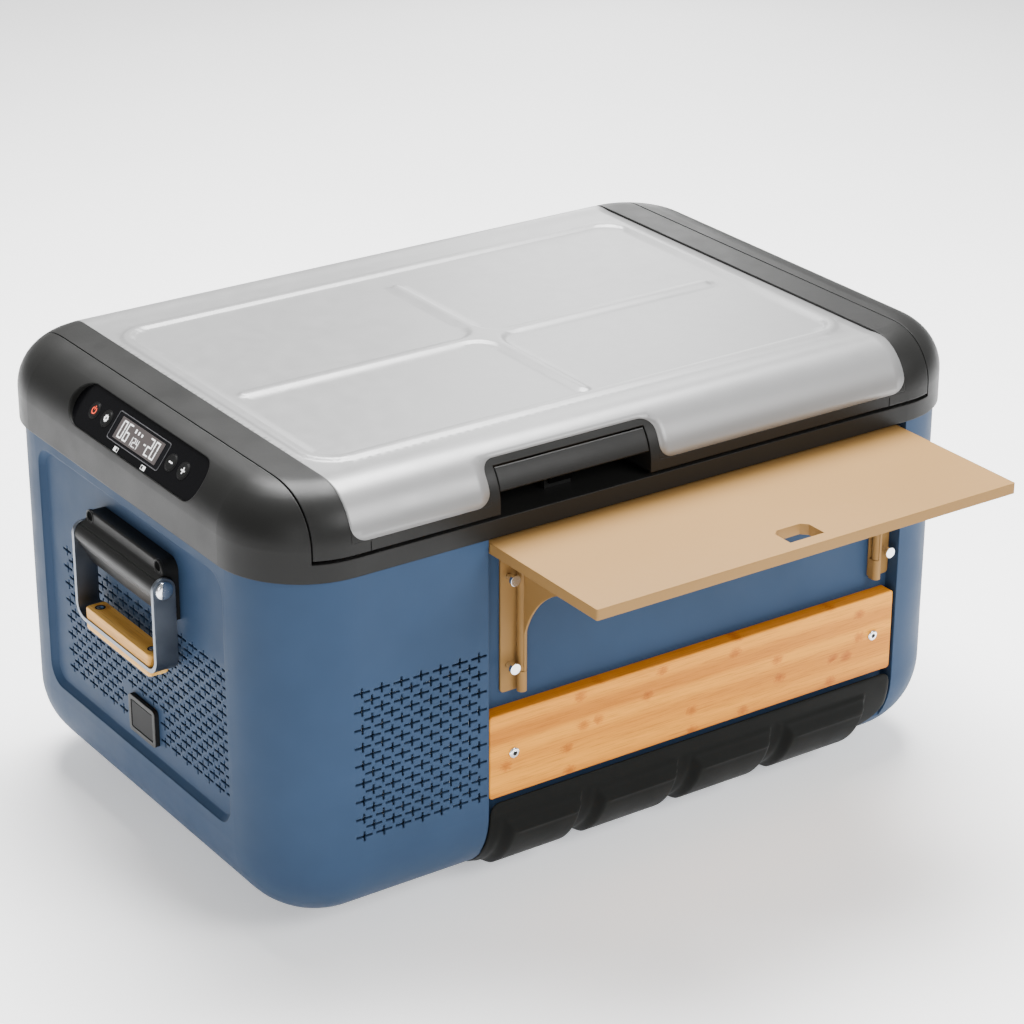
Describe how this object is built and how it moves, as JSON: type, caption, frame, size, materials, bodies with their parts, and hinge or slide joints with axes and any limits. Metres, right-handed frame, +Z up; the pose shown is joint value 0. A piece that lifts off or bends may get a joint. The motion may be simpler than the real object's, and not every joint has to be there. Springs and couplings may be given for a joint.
{
  "type": "compressor cooler fridge",
  "caption": "Insulated chest fridge with a compressor bay, hinged latched lid, end bail handles, control panel and gate-leg side table.",
  "frame": {"origin": "on the floor under the middle of the cabinet, at the centre of the four foot bolts", "axes": "+Z up, +X along the length away from the compressor end, -Y towards the side table"},
  "size_m": [0.7114, 0.599, 0.388],
  "materials": {
    "blue_plastic": "satin",
    "dark_plastic": "satin",
    "sheet_steel": "brushed",
    "grey_liner": "satin",
    "foam": "cellular",
    "copper": "bright",
    "black_paint": "satin",
    "black_rubber": "matte",
    "aluminium": "mill",
    "black_plastic": "matte",
    "circuit_board": "gloss",
    "panel_gloss": "gloss",
    "window": "gloss",
    "brass_contact": "bright",
    "steel_bar": "satin",
    "bamboo": "oiled",
    "chrome": "polished",
    "silver_panel": "satin",
    "beige_metal": "satin"
  },
  "bodies": {
    "cabinet": {"outer_shell": "blue_plastic", "upper_frame": "dark_plastic", "latch_strikes": "dark_plastic", "lid_hinge_pins": "sheet_steel", "inner_liner": "grey_liner", "insulation_foam": "foam", "evaporator_coil": "copper", "bulkhead": "sheet_steel", "base_tray": "sheet_steel", "compressor": "black_paint", "compressor_mounts": "black_rubber", "condenser_coil": "aluminium", "fan_shroud": "black_plastic", "filter_drier": "copper", "drive_board": "circuit_board", "refrigerant_lines": "copper", "control_bezel": "panel_gloss", "display_window": "window", "control_board": "circuit_board", "socket_bezel": "dark_plastic", "power_socket": "black_plastic", "socket_pins": "brass_contact", "left_handle_bracket": "dark_plastic", "right_handle_bracket": "dark_plastic", "bail_pins": "chrome", "bamboo_rail": "bamboo", "case_screws": "chrome", "front_bumper": "dark_plastic", "rubber_feet": "black_rubber", "table_pins": "sheet_steel", "wall_studs": "chrome", "left_wall_plate": "beige_metal", "right_wall_plate": "beige_metal"},
    "lid": {"lid_top_panel": "silver_panel", "lid_left_cap": "dark_plastic", "lid_right_cap": "dark_plastic", "lid_front_rail": "dark_plastic", "lid_rear_rail": "dark_plastic", "lid_liner": "grey_liner", "lid_foam": "foam", "lid_gasket": "black_rubber", "latch_pins": "sheet_steel"},
    "front_latch": {"front_latch_lever": "dark_plastic"},
    "rear_latch": {"rear_latch_lever": "dark_plastic"},
    "left_handle": {"left_bail": "steel_bar", "left_grip": "bamboo", "left_grip_screws": "chrome"},
    "right_handle": {"right_bail": "steel_bar", "right_grip": "bamboo", "right_grip_screws": "chrome"},
    "power_key": {"power_button": "panel_gloss"},
    "mode_key": {"mode_button": "panel_gloss"},
    "minus_key": {"minus_button": "panel_gloss"},
    "plus_key": {"plus_button": "panel_gloss"},
    "inlet_cover": {"socket_cover": "black_rubber"},
    "fan": {"fan_rotor": "black_plastic"},
    "table": {"table_top": "beige_metal", "table_bumpers": "black_rubber"},
    "left_gate": {"left_gusset": "beige_metal"},
    "right_gate": {"right_gusset": "beige_metal"}
  },
  "joints": [
    {"name": "lid_hinge", "type": "hinge", "parent": "cabinet", "child": "lid", "pos_m": [0, 0.2225, 0.347], "axis": [-1, 0, 0], "range_deg": [0, 95]},
    {"name": "front_latch_pull", "type": "hinge", "parent": "lid", "child": "front_latch", "pos_m": [-0.0675, -0.21926, 0.36798], "axis": [-1, 0, 0], "range_deg": [0, 20], "stiffness_Nm_per_rad": 0.4, "springref_deg": -11.46},
    {"name": "rear_latch_pull", "type": "hinge", "parent": "lid", "child": "rear_latch", "pos_m": [-0.0675, 0.21926, 0.36798], "axis": [1, 0, 0], "range_deg": [0, 20], "stiffness_Nm_per_rad": 0.4, "springref_deg": -11.46},
    {"name": "left_handle_swing", "type": "hinge", "parent": "cabinet", "child": "left_handle", "pos_m": [-0.346, -0.011, 0.27], "axis": [0, 1, 0], "range_deg": [0, 90]},
    {"name": "right_handle_swing", "type": "hinge", "parent": "cabinet", "child": "right_handle", "pos_m": [0.346, -0.011, 0.27], "axis": [0, -1, 0], "range_deg": [0, 90]},
    {"name": "power_press", "type": "slide", "parent": "cabinet", "child": "power_key", "axis": [0.7986, 0, -0.6018], "range_m": [0, 0.0008], "stiffness_N_per_m": 600, "springref_m": -0.0004},
    {"name": "mode_press", "type": "slide", "parent": "cabinet", "child": "mode_key", "axis": [0.7986, 0, -0.6018], "range_m": [0, 0.0008], "stiffness_N_per_m": 600, "springref_m": -0.0004},
    {"name": "minus_press", "type": "slide", "parent": "cabinet", "child": "minus_key", "axis": [0.7986, 0, -0.6018], "range_m": [0, 0.0008], "stiffness_N_per_m": 600, "springref_m": -0.0004},
    {"name": "plus_press", "type": "slide", "parent": "cabinet", "child": "plus_key", "axis": [0.7986, 0, -0.6018], "range_m": [0, 0.0008], "stiffness_N_per_m": 600, "springref_m": -0.0004},
    {"name": "inlet_cover_hinge", "type": "hinge", "parent": "cabinet", "child": "inlet_cover", "pos_m": [-0.3335, -0.008, 0.1339], "axis": [0, 1, 0], "range_deg": [0, 95]},
    {"name": "fan_spin", "type": "hinge", "parent": "cabinet", "child": "fan", "pos_m": [-0.215, -0.17, 0.152], "axis": [0, 1, 0], "continuous": true},
    {"name": "table_lift", "type": "hinge", "parent": "cabinet", "child": "table", "pos_m": [0.0567, -0.221, 0.31195], "axis": [-1, 0, 0], "range_deg": [0, 8]},
    {"name": "left_gate_swing", "type": "hinge", "parent": "cabinet", "child": "left_gate", "pos_m": [-0.112, -0.222, 0.242], "axis": [0, 0, 1], "range_deg": [0, 85]},
    {"name": "right_gate_swing", "type": "hinge", "parent": "cabinet", "child": "right_gate", "pos_m": [0.249, -0.222, 0.242], "axis": [0, 0, -1], "range_deg": [0, 85]}
  ]
}
